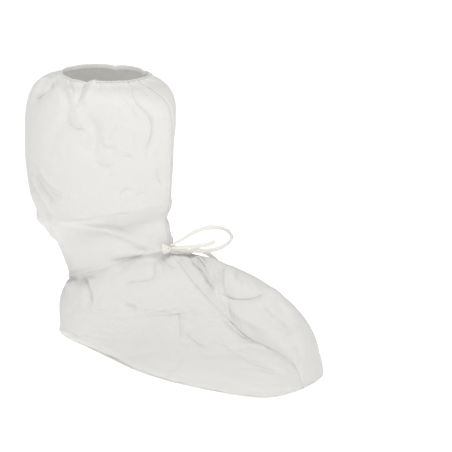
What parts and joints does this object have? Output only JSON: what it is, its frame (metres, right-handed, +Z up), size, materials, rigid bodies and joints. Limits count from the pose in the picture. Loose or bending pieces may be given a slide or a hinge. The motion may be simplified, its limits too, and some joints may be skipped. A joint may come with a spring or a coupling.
{
  "type": "overshoe",
  "caption": "White nonwoven overshoe reaching up the calf, with an elastic hem, a tape tied in a bow at the ankle and a flat sole.",
  "frame": {"origin": "on the inside of the sole, straight below the middle of the leg", "axes": "+Z up the leg, -Y towards the toe, -X towards the outer side of the foot"},
  "size_m": [0.1362, 0.3594, 0.2986],
  "materials": {
    "cloth": "satin",
    "sole_cloth": "satin",
    "hem_cloth": "matte",
    "tape": "matte"
  },
  "bodies": {
    "root": {"outer_panel": "cloth", "inner_panel": "cloth", "sole": "sole_cloth", "elastic_hem": "hem_cloth", "ankle_tie": "tape", "tie_knot": "tape", "tie_loop": "tape", "tie_tail_long": "tape", "tie_tail_short": "tape"}
  },
  "joints": []
}
